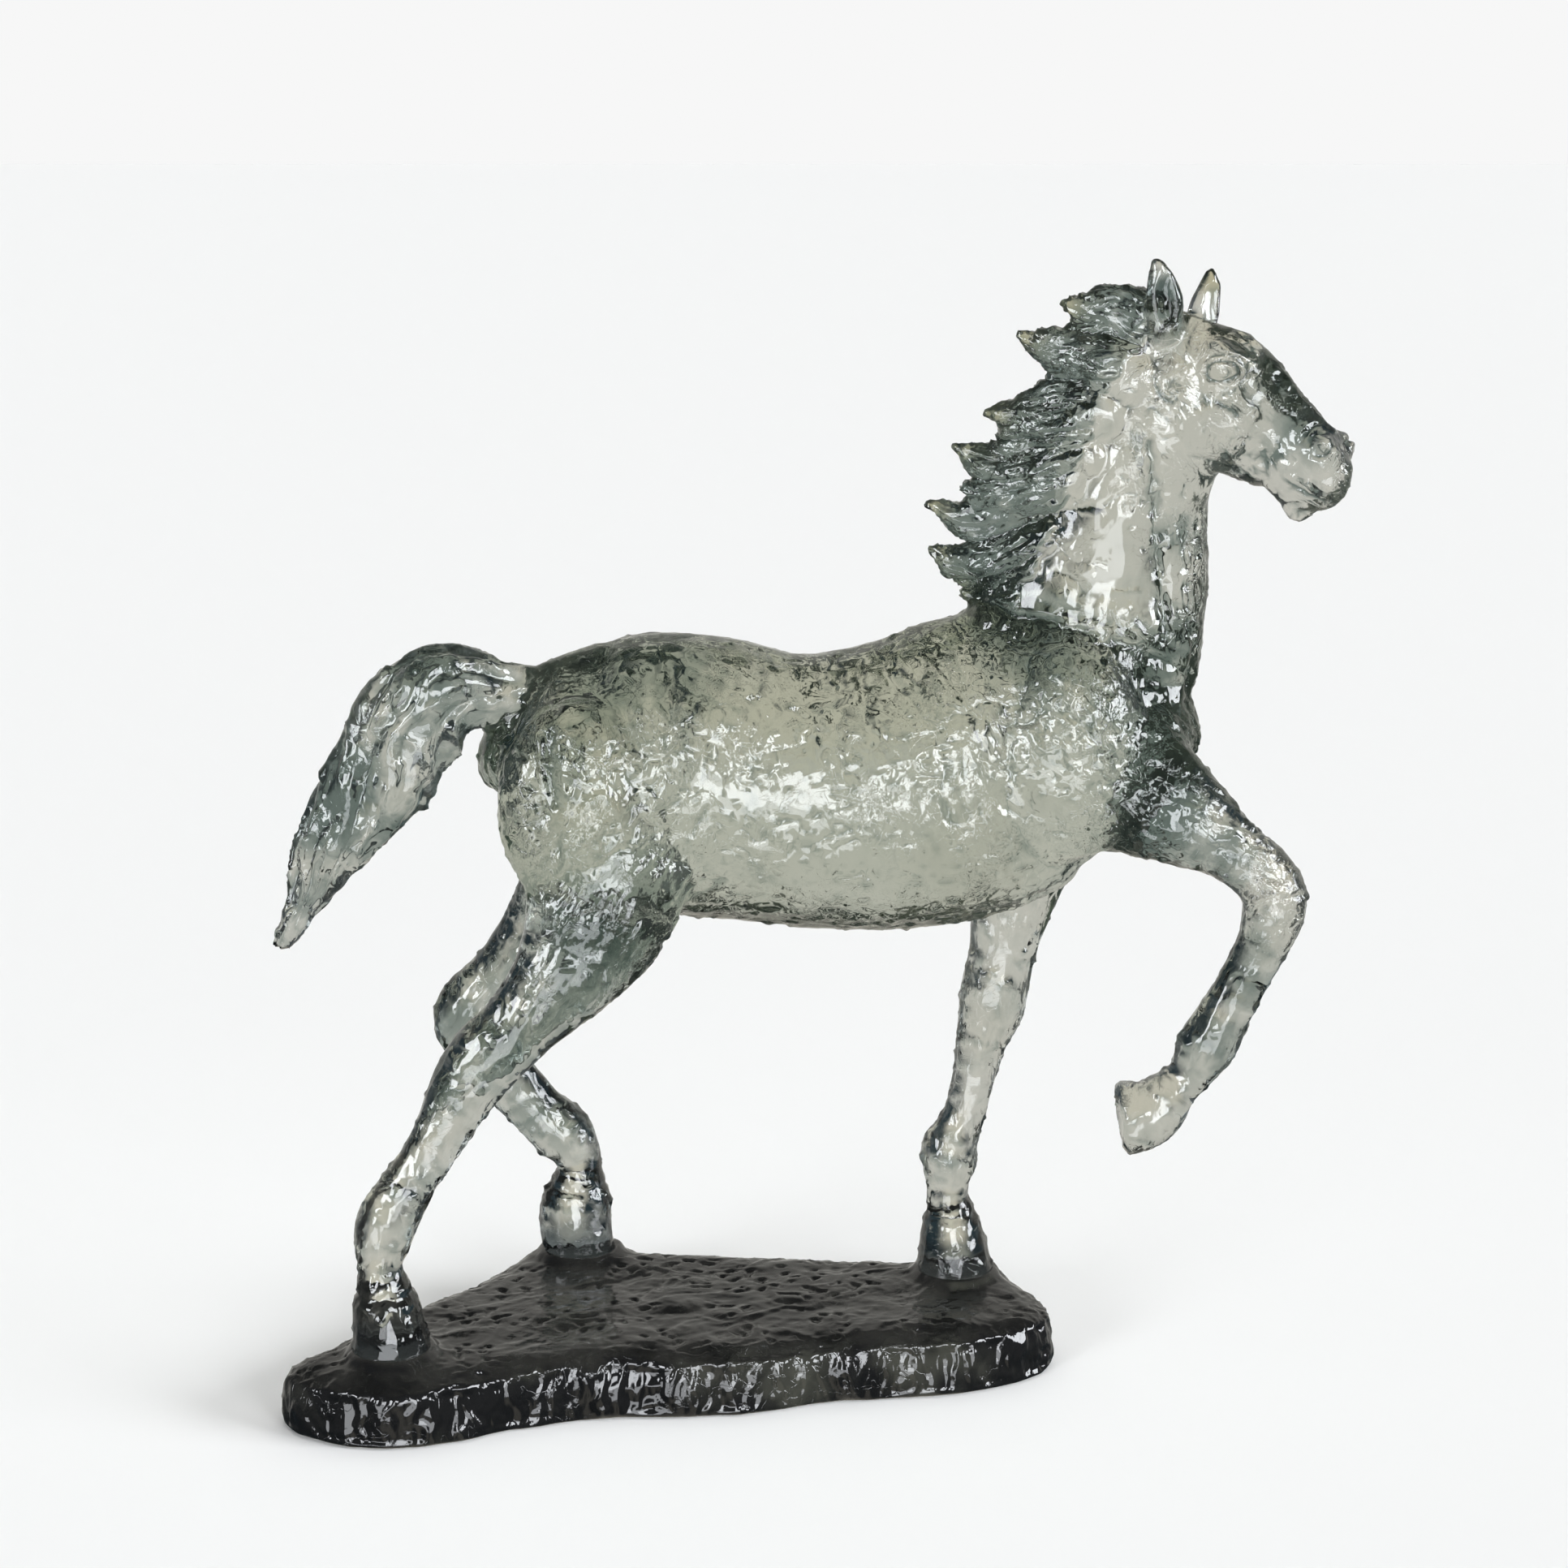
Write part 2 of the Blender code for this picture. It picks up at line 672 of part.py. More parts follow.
def make_base():
    base = made_object("base", [base_skin()])
    thinned(base, BASE_TRIANGLES)
    cut_flat(base, 0, keep_above=True)
    cut_flat(base, BASE_THICKNESS, keep_above=False)
    base.data.materials.append(resin("dark resin", (0.02, 0.022, 0.02), 0.12, 0.0))
    base.data.shade_smooth()
    return base


def clear_scene():
    for item in list(bpy.data.objects):
        bpy.data.objects.remove(item)


clear_scene()
make_horse()
make_base()
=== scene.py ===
"""The clear resin horse on its dark resin base, dressed with its hand-worked surface.

Lengths are in metres in the model's frame. What is measured on the horse is written in
millimetres as (x, y, z) with z above the soles, and turned into metres where it is used.
"""

import math

import bpy
import numpy as np
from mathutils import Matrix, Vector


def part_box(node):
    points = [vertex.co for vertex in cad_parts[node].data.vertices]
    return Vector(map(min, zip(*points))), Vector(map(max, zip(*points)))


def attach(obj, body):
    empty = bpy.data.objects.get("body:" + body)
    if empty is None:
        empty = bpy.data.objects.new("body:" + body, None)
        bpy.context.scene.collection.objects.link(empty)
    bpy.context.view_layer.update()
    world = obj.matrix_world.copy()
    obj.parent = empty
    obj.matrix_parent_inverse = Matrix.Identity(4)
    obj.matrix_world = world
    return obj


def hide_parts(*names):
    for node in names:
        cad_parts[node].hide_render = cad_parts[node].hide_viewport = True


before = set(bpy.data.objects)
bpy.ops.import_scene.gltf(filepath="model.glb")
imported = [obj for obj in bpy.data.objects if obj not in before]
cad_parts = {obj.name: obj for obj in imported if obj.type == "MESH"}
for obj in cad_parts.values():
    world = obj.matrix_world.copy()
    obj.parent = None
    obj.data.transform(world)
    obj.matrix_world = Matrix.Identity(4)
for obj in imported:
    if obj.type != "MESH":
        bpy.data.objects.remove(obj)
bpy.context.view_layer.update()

MM = 0.001
SOLE_Z = 0.0363
# What counts as sole, and how far it reaches into the base
SOLE_BAND = 0.8 * MM
SOLE_SINK = 1.4 * MM

# How fine the working meshes are, and how many faces each dressed piece keeps
HORSE_GRAIN = 1.08 * MM
BASE_GRAIN = 1.2 * MM
MOST_TRIANGLES = 196000
# How often each piece is smoothed before its surface is worked, and the base's upper edge rolled
HORSE_PASSES = 34
BASE_PASSES = 22
ROLLING_PASSES = 160


def unit(vectors):
    return vectors / np.maximum(np.linalg.norm(vectors, axis=-1, keepdims=True), 1e-12)


def smooth_step(values, low, high):
    share = np.clip((values - low) / (high - low), 0, 1)
    return share * share * (3 - 2 * share)


def bell(values, width):
    """1 at zero, falling away smoothly on both sides."""
    return np.exp(-((values / width) ** 2))


# Noise


def hashed(cells, seed):
    """A fixed pseudo-random number from 0 to 1 for each whole-number cell."""
    x, y, z = (cells[..., i].astype(np.int64) for i in range(3))
    mixed = (x * 374761393 + y * 668265263 + z * 1440662683 + seed * 974634777) & 0xFFFFFFFF
    mixed = ((mixed ^ (mixed >> 13)) * 1274126177) & 0xFFFFFFFF
    mixed = ((mixed ^ (mixed >> 16)) * 2246822519) & 0xFFFFFFFF
    return ((mixed ^ (mixed >> 15)) & 0xFFFFFF) / 0xFFFFFF


# The twelve slopes that a corner of the noise's grid may have
SLOPES = np.array([s for s in np.array(list(np.ndindex(3, 3, 3))) - 1 if np.abs(s).sum() == 2])


def soft_noise(points, seed=0):
    """Smooth noise from about -1 to 1 with lumps about one unit across."""
    cell = np.floor(points)
    part = points - cell
    fade = part**3 * (part * (part * 6 - 15) + 10)
    total = np.zeros(len(points))
    for corner in np.ndindex(2, 2, 2):
        pick = (hashed(cell + corner, seed) * len(SLOPES)).astype(int) % len(SLOPES)
        weight = ((part - corner) * SLOPES[pick]).sum(axis=1)
        for axis, step in enumerate(corner):
            weight *= fade[:, axis] if step else 1 - fade[:, axis]
        total += weight
    return 1.4 * total


def layered_noise(points, seed=0, layers=3, gain=0.5):
    """Smooth noise with finer and finer lumps."""
    total, height = np.zeros(len(points)), 1.0
    for layer in range(layers):
        total += height * soft_noise(points * 2**layer, seed + 17 * layer)
        height *= gain
    return total


def ridges(points, seed=0, layers=2):
    """Sharp crests from 0 to 1 that run between the lumps of the noise."""
    total, height, most = np.zeros(len(points)), 1.0, 0.0
    for layer in range(layers):
        field = np.abs(soft_noise(points * 2.1**layer, seed + 31 * layer))
        total += height * (1 - np.minimum(1, 1.4 * field)) ** 2
        most += height
        height *= 0.45
    return total / most


def warped(points, size, reach, seed):
    """Points pushed about smoothly, so that what is drawn on them wanders."""
    pushes = [soft_noise(points / size, seed + i) for i in range(3)]
    return points + reach * np.stack(pushes, axis=1)


def pressed_clay(points, seed=0):
    """Pellets of clay pressed side by side: each has its own height and tilt, from -1 to 1."""
    cell = np.floor(points)
    nearest = np.full(len(points), np.inf)
    second = np.full(len(points), np.inf)
    found = np.zeros(len(points))
    for step in np.ndindex(3, 3, 3):
        corner = cell + step - 1
        spot = np.stack([hashed(corner, seed + i) for i in range(3)], axis=1)
        away = points - corner - spot
        gap = (away**2).sum(axis=1)
        tilt = np.stack([hashed(corner, seed + i) for i in range(3, 6)], axis=1) - 0.5
        height = hashed(corner, seed + 6) - 0.5 + 1.3 * (away * tilt).sum(axis=1)
        closer = gap < nearest
        second = np.where(closer, nearest, np.minimum(second, gap))
        found = np.where(closer, height, found)
        nearest = np.where(closer, gap, nearest)
    seam = np.sqrt(second) - np.sqrt(nearest)
    return found * smooth_step(seam, 0, 0.16)


# Meshes as arrays


def positions(mesh):
    flat = np.empty(len(mesh.vertices) * 3, np.float32)
    mesh.vertices.foreach_get("co", flat)
    return flat.reshape(-1, 3).astype(float)


def set_positions(mesh, points):
    mesh.vertices.foreach_set("co", points.astype(np.float32).ravel())
    mesh.update()


def normals(mesh):
    flat = np.empty(len(mesh.vertices) * 3, np.float32)
    mesh.vertex_normals.foreach_get("vector", flat)
    return flat.reshape(-1, 3).astype(float)


def edges(mesh):
    flat = np.empty(len(mesh.edges) * 2, np.int32)
    mesh.edges.foreach_get("vertices", flat)
    return flat.reshape(-1, 2)


def relaxed(points, pairs, passes, strength=0.5, undone=1.04):
    """Points moved towards their neighbours' middle, each pass undone again to keep the size."""
    counts = np.bincount(pairs.ravel(), minlength=len(points))[:, None]
    for _ in range(passes):
        for step in (strength, -strength * undone):
            middle = np.empty_like(points)
            for axis in range(3):
                values = points[:, axis]
                middle[:, axis] = np.bincount(pairs[:, 0], values[pairs[:, 1]], len(points))
                middle[:, axis] += np.bincount(pairs[:, 1], values[pairs[:, 0]], len(points))
            points = points + step * (middle / counts - points)
    return points


def evaluated(piece):
    """Replaces the object's mesh with what its modifiers make of it."""
    bpy.context.view_layer.update()
    graph = bpy.context.evaluated_depsgraph_get()
    mesh = bpy.data.meshes.new_from_object(piece.evaluated_get(graph))
    piece.modifiers.clear()
    piece.data = mesh
    return piece


def fine_copy(name, node, grain):
    """A new object with the node's form, on an even fine mesh."""
    piece = bpy.data.objects.new(name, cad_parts[node].data.copy())
    piece.data.materials.clear()
    bpy.context.scene.collection.objects.link(piece)
    remesh = piece.modifiers.new("even mesh", "REMESH")
    remesh.mode = "VOXEL"
    remesh.voxel_size = grain
    return evaluated(piece)


def thinned(piece, triangles):
    """Fewer faces, kept where the surface turns most."""
    count = sum(p.loop_total - 2 for p in piece.data.polygons)
    if count > triangles:
        decimate = piece.modifiers.new("fewer faces", "DECIMATE")
        decimate.ratio = triangles / count
        evaluated(piece)
    piece.data.shade_smooth()
    return piece


# Lines on the figure


def near_line(points, line):
    """For each point: its distance from the line, how far along it, and the line's direction."""
    line = np.asarray(line, float)
    lengths = np.linalg.norm(np.diff(line, axis=0), axis=1)
    best = np.full(len(points), np.inf)
    reach = np.zeros(len(points))
    heading = np.zeros((len(points), line.shape[1]))
    start = 0.0
    for a, b, length in zip(line[:-1], line[1:], lengths):
        run = (b - a) / length
        share = np.clip((points - a) @ run, 0, length)
        gap = np.linalg.norm(points - a - share[:, None] * run, axis=1)
        closer = gap < best
        best = np.where(closer, gap, best)
        reach = np.where(closer, start + share, reach)
        heading[closer] = run
        start += length
    return best, reach, heading


def curve(rows, gap=2.0):
    """Points a gap apart on a smooth curve through the rows."""
    rows = np.array(rows, float)
    padded = np.vstack([2 * rows[0] - rows[1], rows, 2 * rows[-1] - rows[-2]])
    found = []
    for p0, p1, p2, p3 in zip(padded, padded[1:], padded[2:], padded[3:]):
        steps = max(1, round(float(np.linalg.norm(p2 - p1)) / gap))
        for t in np.arange(steps) / steps:
            bend = 2 * p0 - 5 * p1 + 4 * p2 - p3
            twist = 3 * (p1 - p2) + p3 - p0
            found.append(0.5 * (2 * p1 + (p2 - p0) * t + bend * t**2 + twist * t**3))
    return np.array(found + [rows[-1]])


# Where the sculptor's strokes run: (the middle line of a zone, the direction of its strokes,
# and how much of them is lumps). Strokes without lumps are longer.
DOWN_AND_AHEAD = (0.5, 0, -1)
ZONES = [
    ([(-60, 4, 276), (-5, 8, 272)], (0.2, 0, -1), 1.0),
    ([(40, 10, 268), (125, 14, 268)], DOWN_AND_AHEAD, 0.9),
    ([(168, 13, 284), (225, 11, 292)], DOWN_AND_AHEAD, 1.1),
    ([(205, 10, 345), (218, 4, 400), (240, -7, 474)], (0.25, 0, 1), 0.7),
    ([(-28, -34, 228), (-56, -43, 177), (-107, -50, 111)], (0.6, 0, 1), 0.3),
    ([(-112, -50, 100), (-134, -53, 67), (-135, -55, 0)], (0.25, 0, 1), 0.0),
    ([(-44, 50, 212), (-71, 57, 166), (-103, 63, 131)], (0.6, 0, 1), 0.3),
    ([(-100, 64, 118), (-58, 68, 65), (-51, 70, 0)], (-0.6, 0, 1), 0.2),
    ([(182, 40, 236), (163, 43, 150), (149, 43, 84), (146, 43, 0)], (0.12, 0, 1), 0.0),
    ([(232, -25, 270), (284, -37, 235)], (1, 0, -0.6), 0.3),
    ([(288, -38, 215), (261, -34, 149)], (0.35, 0, 1), 0.0),
    ([(252, -32, 130), (223, -32, 112)], (0.3, 0, 1), 0.0),
]
# Places (x, z) on the body that are smooth or rough, with a radius: a plus is rougher
TEMPERS = [
    ((72, 226), 30, -0.7),
    ((140, 224), 24, -0.5),
    ((-22, 342), 34, -1.0),
    ((85, 336), 34, -1.3),
    ((200, 385), 30, -1.5),
    ((222, 440), 22, -0.8),
    ((212, 300), 34, 1.0),
    ((222, 255), 18, 0.6),
    ((-32, 280), 26, 0.8),
    ((122, 280), 28, 0.8),
    ((50, 312), 22, 0.7),
    ((-56, 280), 22, 0.6),
]
# Creases (x, z) pressed into both sides of the body, as (line, width, depth)
CREASES = [
    ([(148, 363), (169, 355), (207, 346), (246, 328), (252, 312)], 2.6, 2.0),
    ([(226, 440), (229, 418), (232, 383), (238, 345)], 2.2, 3.0),
    ([(243, 418), (246, 381), (249, 345)], 1.8, 2.2),
    ([(-51, 318), (-53, 296), (-50, 274), (-49, 250)], 2.4, 1.9),
    ([(28, 232), (13, 219), (0, 202)], 2.4, 1.4),
    ([(-22, 300), (-14, 282), (-16, 262)], 1.6, 1.0),
    ([(53, 265), (62, 264), (70, 265), (79, 271)], 0.9, 1.1),
    ([(133, 288), (131, 276), (134, 264), (139, 260)], 1.1, 1.3),
    ([(114, 302), (128, 304), (136, 309), (140, 304), (132, 297)], 1.0, 1.1),
    ([(-5, 262), (-4, 251), (-3, 240)], 1.1, 1.4),
    ([(2, 289), (6, 282), (12, 278), (6, 272), (-1, 270)], 1.2, 1.4),
    ([(14, 257), (17, 265), (21, 270)], 1.0, 1.2),
    ([(172, 330), (163, 300), (166, 262), (178, 240)], 2.2, 1.1),
    ([(186, 318), (204, 296), (210, 268)], 1.8, 1.2),
]

TAIL = [(-50, 5, 312), (-75, 1, 314), (-98, -3, 317), (-121, -6, 304), (-140, -8, 271)]
TAIL += [(-162, -8, 240), (-180, -7, 206), (-188, -6, 192)]

# The head's own frame: the poll, then its turn to the horse's right and its slope
POLL = (238, -2, 480)
HEAD_TURN = math.radians(29)
HEAD_SLOPE = math.radians(37)

# The middle lines of the mane's locks (x, z), from the neck to the tips
MANE_LOCKS = [
    [(232, 486), (212, 497), (199, 498), (186, 501)],
    [(222, 474), (196, 480), (181, 481), (166, 486)],
    [(214, 456), (184, 452), (168, 449), (152, 450)],
    [(206, 438), (170, 427), (153, 426), (137, 434)],
    [(198, 418), (160, 402), (143, 399), (126, 406)],
    [(190, 400), (156, 380), (140, 377), (127, 384)],
    [(184, 384), (165, 368), (153, 363), (142, 362)],
]
# The line (x, z) on the sides of the neck where the mane's hair starts
MANE_EDGE = [(232, 496), (223, 484), (207, 462), (197, 436)]
MANE_EDGE += [(190, 414), (182, 394), (176, 376), (166, 360)]
# How deep the marks of the hair are, in millimetres
STRANDS = 1.6
FINE_STRANDS = 0.9
LOCK_SEAMS = 1.6
TAIL_RIDGES = 2.9
TAIL_STRANDS = 0.45
TAIL_PLANES = 2.0
# How far the tail's strands wind round it, along its whole length
TAIL_TURN = math.radians(150)
TAIL_LENGTH = 170


# How deep the marks on the body are, in millimetres: slow waves, the crests of strokes, pellets
# of clay, crumpled clay, fine strokes and cracks
WAVES = 0.7
CRESTS = 1.25
PELLETS = 1.1
CRUMPLES = 0.8
FINE_STROKES = 0.55
CRACKS = 1.1
# The legs' own smoother surface starts at the first height and is full at the second
LEGS_FROM = 215
LEGS_BELOW = 175


def leg_share(points):
    """1 on the legs, 0 on the body above them."""
    return smooth_step(-points[:, 2], -LEGS_FROM, -LEGS_BELOW)


def stroke_relief(points, direction, lumps, seed):
    """Relief of strokes that run along one direction, from about -1 to 1."""
    ahead = unit(np.array(direction, float))
    side = unit(np.cross(ahead, (0.3, 1, 0.2)))
    other = np.cross(ahead, side)
    bent = warped(points, 17, 1.4 + 1.8 * lumps, seed)
    own = np.stack([bent @ ahead, bent @ side, bent @ other], axis=1)
    width = 4.5 + 3.5 * lumps
    crests = ridges(own / (76 - 42 * lumps, width, width), seed + 3, 2) - 0.45
    flats = pressed_clay(own / (26, 10.5, 10.5), seed + 5)
    return CRESTS * crests + PELLETS * lumps * flats


def body_relief(points):
    """How far the worked surface stands out, in millimetres, and where it is finely worked."""
    flat = points[:, (0, 2)]
    on_legs = leg_share(points)
    temper = 1.1 * soft_noise(points / 30, 71) + 0.4 * on_legs
    for spot, radius, push in TEMPERS:
        temper += 1.5 * push * bell(np.linalg.norm(flat - spot, axis=1), radius)
    rough = smooth_step(temper, -0.75, 0.85)

    weights = np.array([1 / (near_line(points, line)[0] + 4) ** 5 for line, _, _ in ZONES])
    weights /= weights.sum(axis=0)
    strokes = np.zeros(len(points))
    for number, ((_, direction, lumps), weight) in enumerate(zip(ZONES, weights)):
        own = weight > 0.04
        strokes[own] += weight[own] * stroke_relief(points[own], direction, lumps, 40 + 13 * number)

    total = WAVES * (1 - 0.8 * on_legs) * layered_noise(points / 28, 3, 2)
    total += (0.35 + 0.75 * rough) * (1 - 0.25 * on_legs) * strokes
    crumpled = warped(points, 9, 2.5, 57)
    total += rough**2 * (1 - on_legs) * CRUMPLES * (ridges(crumpled / 7.5, 5, 2) - 0.4)
    patches = smooth_step(soft_noise(points / 13, 59), -0.15, 0.35)
    fine = (0.15 + 0.85 * rough) * (0.15 + 0.85 * patches) * (1 - on_legs)
    total += fine * FINE_STROKES * (ridges(crumpled / 3.8, 51, 1) - 0.4)
    # Cracks wander where the clay was left rough
    crack = np.abs(soft_noise(warped(points, 9, 2.5, 91) / (17, 11, 9), 23))
    cracked = smooth_step(soft_noise(points / 19, 29), 0.0, 0.3) * (1 - 0.8 * on_legs)
    total -= CRACKS * cracked * bell(crack, 0.05)
    # The hooves are smoother
    total *= 1 - 0.5 * smooth_step(-points[:, 2], -34, -24)
    wander = 2.2 * soft_noise(points / 8, 97) + 0.9 * soft_noise(points / 3.5, 98)
    for line, width, depth in CREASES:
        gap, _, _ = near_line(flat, curve(line))
        fade = smooth_step(soft_noise(points / 9, 99), -0.5, 0.0)
        total -= (0.35 + 0.65 * fade) * depth * bell(gap + wander * bell(gap, 8), width)
    return total, fine


def mane_relief(points):
    """Strands that run along each lock, with a deep seam between locks."""
    flat = points[:, (0, 2)]
    gaps, reaches, offsets = [], [], []
    for line in MANE_LOCKS:
        path = curve(line)
        gap, reach, heading = near_line(flat, path)
        nearest = path[np.argmin(((flat[:, None] - path[None]) ** 2).sum(axis=2), axis=1)]
        across = np.stack([-heading[:, 1], heading[:, 0]], axis=1)
        offsets.append(((flat - nearest) * across).sum(axis=1))
        gaps.append(gap)
        reaches.append(reach)
    gaps, reaches, offsets = np.array(gaps), np.array(reaches), np.array(offsets)
    order = np.argsort(gaps, axis=0)
    pick = np.arange(len(points))
    first, second = order[0], order[1]
    offset, reach = offsets[first, pick], reaches[first, pick]
    seam = gaps[second, pick] - gaps[first, pick]
    layer = 5.3 * first
    wave = 2.6 * soft_noise(np.stack([reach / 20, offset / 9, points[:, 1] / 12], axis=1), 61)
    own = np.stack([(offset + wave) / 3.4, reach / 30, points[:, 1] / 7 + layer], axis=1)
    fine = np.stack([(offset + wave) / 1.8, reach / 20, points[:, 1] / 4 + layer], axis=1)
    relief = STRANDS * (ridges(own, 13, 1) - 0.45) + FINE_STRANDS * (ridges(fine, 19, 1) - 0.45)
    return relief - LOCK_SEAMS * bell(seam, 1.7)


def mane_share(points):
    """1 where the mane's hair lies, 0 elsewhere, and the distance behind its front edge."""
    flat = points[:, (0, 2)]
    edge = curve(MANE_EDGE)
    heights, fronts = edge[::-1, 1], edge[::-1, 0]
    behind = np.interp(flat[:, 1], heights, fronts) - flat[:, 0]
    behind = np.where(flat[:, 1] < heights[0], -1, behind)
    behind += 2.5 * soft_noise(points / 6, 67)
    return smooth_step(behind, -1, 3), behind


def tail_share(points):
    """1 on the tail, 0 elsewhere."""
    gap, _, _ = near_line(points, TAIL)
    return smooth_step(-points[:, 0], 58, 74) * smooth_step(60 - gap, 0, 20)


def tail_relief(points):
    """Long strands that wind round the tail."""
    path = curve(TAIL)
    _, reach, heading = near_line(points, path)
    nearest = path[np.argmin(((points[:, None] - path[None]) ** 2).sum(axis=2), axis=1)]
    away = points - nearest
    up = unit(np.cross(heading, (0, 1, 0)))
    angle = np.arctan2((away * up).sum(axis=1), away[:, 1])
    turned = angle + reach * TAIL_TURN / TAIL_LENGTH
    wave = 0.3 * soft_noise(np.stack([reach / 26, np.cos(angle), np.sin(angle)], axis=1), 77)
    around = np.stack([np.cos(turned + wave), np.sin(turned + wave)], axis=1)
    coarse = np.column_stack([1.5 * around, reach / 52])
    fine = np.column_stack([3.4 * around, reach / 34])
    relief = TAIL_RIDGES * (ridges(coarse, 7, 1) - 0.5) + TAIL_STRANDS * (ridges(fine, 9, 1) - 0.5)
    relief += TAIL_PLANES * pressed_clay(warped(points, 14, 4, 305) / (22, 17, 30), 303)
    return relief


def in_the_head(points):
    """Points in the head's own frame: along the face, across it and out of its brow."""
    turn, slope = HEAD_TURN, HEAD_SLOPE
    ahead = (math.cos(slope) * math.cos(turn), -math.cos(slope) * math.sin(turn), -math.sin(slope))
    across = (math.sin(turn), math.cos(turn), 0)
    axes = np.array((ahead, across, np.cross(ahead, across)))
    return (points - np.array(POLL)) @ axes.T


def face_share(points):
    """1 on the head, 0 elsewhere."""
    along, across, up = in_the_head(points).T
    return smooth_step(along, -6, 8) * smooth_step(45 - np.hypot(across, up), 0, 6)


def face_relief(points):
    """Eyes, nostrils, mouth and the turns of the cheek, in millimetres."""
    own = in_the_head(points)
    along, across, up = own.T
    # Small strokes that run down the face
    bent = warped(own, 11, 3, 401)
    total = 0.9 * (ridges(bent / (15, 5.5, 5.5), 403, 2) - 0.45)
    total += 0.6 * pressed_clay(bent / (11, 6, 6), 405)
    total *= 0.5 + 0.7 * smooth_step(soft_noise(own / 15, 407), -0.3, 0.4)

    def spot(centre, squash=1.0, slant=0.0):
        """Distances from a place on the side of the face, and the way round it."""
        da, du = along - centre[0], up - centre[1]
        ca, sa = math.cos(slant), math.sin(slant)
        right, high = da * ca + du * sa, (du * ca - da * sa) / squash
        return np.hypot(right, high), np.arctan2(high, right)

    for side in (-1, 1):
        facing = smooth_step(across * side, 3, 9)

        # The eye: a low ball in a thin almond ring, a fold of the upper lid and a brow above it
        eye, way = spot((29.5, 12.6), 0.68, 0.75)
        total *= 1 - facing * bell(eye, 11)
        above = smooth_step(np.sin(way + 0.9), -0.3, 0.5)
        total += facing * 0.5 * bell(eye - 4.6, 1.3)
        total -= facing * 2.0 * bell(eye - 7.4, 0.85)
        total += facing * 0.6 * bell(eye - 9.3, 0.9)
        total -= facing * above * 1.5 * bell(eye - 11.4, 0.8)
        total += facing * above * 0.6 * bell(eye - 13.6, 1.5)
        pupil, way = spot((30.5, 13), 0.8, 0.75)
        total -= facing * smooth_step(np.cos(way + 0.3), -0.6, 0.2) * 1.2 * bell(pupil - 3.4, 0.7)

        # The nostril: a ring with a hollow behind its hind rim, and a low cushion in it
        nostril, way = spot((83.5, 16.5), 0.95, 0.3)
        total *= 1 - facing * 0.8 * bell(nostril, 11)
        behind = smooth_step(np.cos(way - math.radians(165)), -0.1, 0.8)
        closed = smooth_step(np.cos(way - math.radians(60)), -0.9, -0.5)
        total -= facing * closed * (1.6 + 0.6 * behind) * bell(nostril - 7.4, 0.95)
        total -= facing * behind * 2.0 * bell(nostril - 4.0, 0.9)
        total += facing * 0.5 * bell(nostril - 9.4, 1.3)

        # The crest of the cheek, the jowl's rim, the mouth, the lips and the folds round them
        for line, width, depth in (
            ([(37, 18, 0.5), (42, 18, 1.5), (48, 17, 2)], 1.5, 1.4),
            ([(40, 17, 4), (54, 15, 4), (66, 12, 2)], 2.4, -0.7),
            ([(17, 17, -14), (19, 19, -19), (24, 19, -22), (31, 18, -23.5), (38, 16, -22)], 1.5, 1.6),
            ([(12, 16, -8), (13.5, 17, -14)], 1.1, 1.1),
            ([(72, 13, -5.5), (80, 14, -8.5), (90, 13, -7.5), (102, 7, -4)], 1.1, 2.5),
            ([(74, 13, -2.5), (84, 14, -4), (94, 12, -3.5)], 1.6, -0.6),
            ([(64, 12, -1), (69, 12, -6), (74, 11, -12)], 1.6, 0.9),
            ([(44, 12, 17), (58, 10, 14), (72, 9, 17)], 1.6, 1.0),
            ([(50, 14, 10), (60, 12, 8.5), (70, 10, 11)], 1.3, 0.8),
            ([(36, 15, -29), (46, 13, -27), (58, 10, -22)], 1.6, 0.8),
        ):
            gap, _, _ = near_line(own, [(a, b * side, c) for a, b, c in line])
            total -= depth * bell(gap, width)
    return total


# Each ear: its base, its tip and the way it opens
EARS = [
    ((232, -20, 487), (228, -22, 518), (0.35, -1, 0.1)),
    ((251, 5, 486), (256, 8, 512), (0.75, -0.66, 0.1)),
]
EAR_DEPTH = 2.6


def ear_share(points):
    """1 on the ears, 0 elsewhere."""
    gaps = [near_line(points, [base, tip])[0] for base, tip, _ in EARS]
    return smooth_step(-np.minimum(*gaps), -11, -8) * smooth_step(points[:, 2], 488, 494)


def ear_hollow(points):
    """The hollow of each ear: how far its opening is pressed in, in millimetres."""
    total = np.zeros(len(points))
    for base, tip, opening in EARS:
        gap, reach, _ = near_line(points, [base, tip])
        axis = unit(np.subtract(tip, base).astype(float))
        facing = unit(np.array(opening) - np.dot(opening, axis) * axis)
        side = np.cross(axis, facing)
        away = points - np.array(base) - reach[:, None] * axis
        across, out = away @ side, away @ facing
        length = np.linalg.norm(np.subtract(tip, base))
        rise = reach / length
        width = 3.9 * np.sqrt(np.clip(1 - (rise - 0.4) ** 2 / 0.36, 0.04, 1))
        inside = np.exp(-((across / width) ** 4)) * smooth_step(out, -0.5, 2.0)
        within = smooth_step(12 - gap, 0, 4) * smooth_step(rise, 0.08, 0.3)
        inside *= within * smooth_step(-rise, -0.95, -0.75)
        total += EAR_DEPTH * inside
    return total


# The names of the mesh's colour, the resin's tint with painted shade in it, and of its share of finely
# worked surface
TINT_AND_SHADE = "tint_and_shade"
WORKED = "worked"
# The resin's colours, as multiplied at its surface: the smoky one is the resin's faint grey and also
# painted shade, the dark sole one is painted shade
CLEAR = (0.98, 0.975, 0.95)
SMOKY_AND_PAINTED_SHADE = (0.26, 0.32, 0.31)
PAINTED_SOLE_SHADE = (0.20, 0.23, 0.25)
OLIVE = (0.72, 0.69, 0.48)
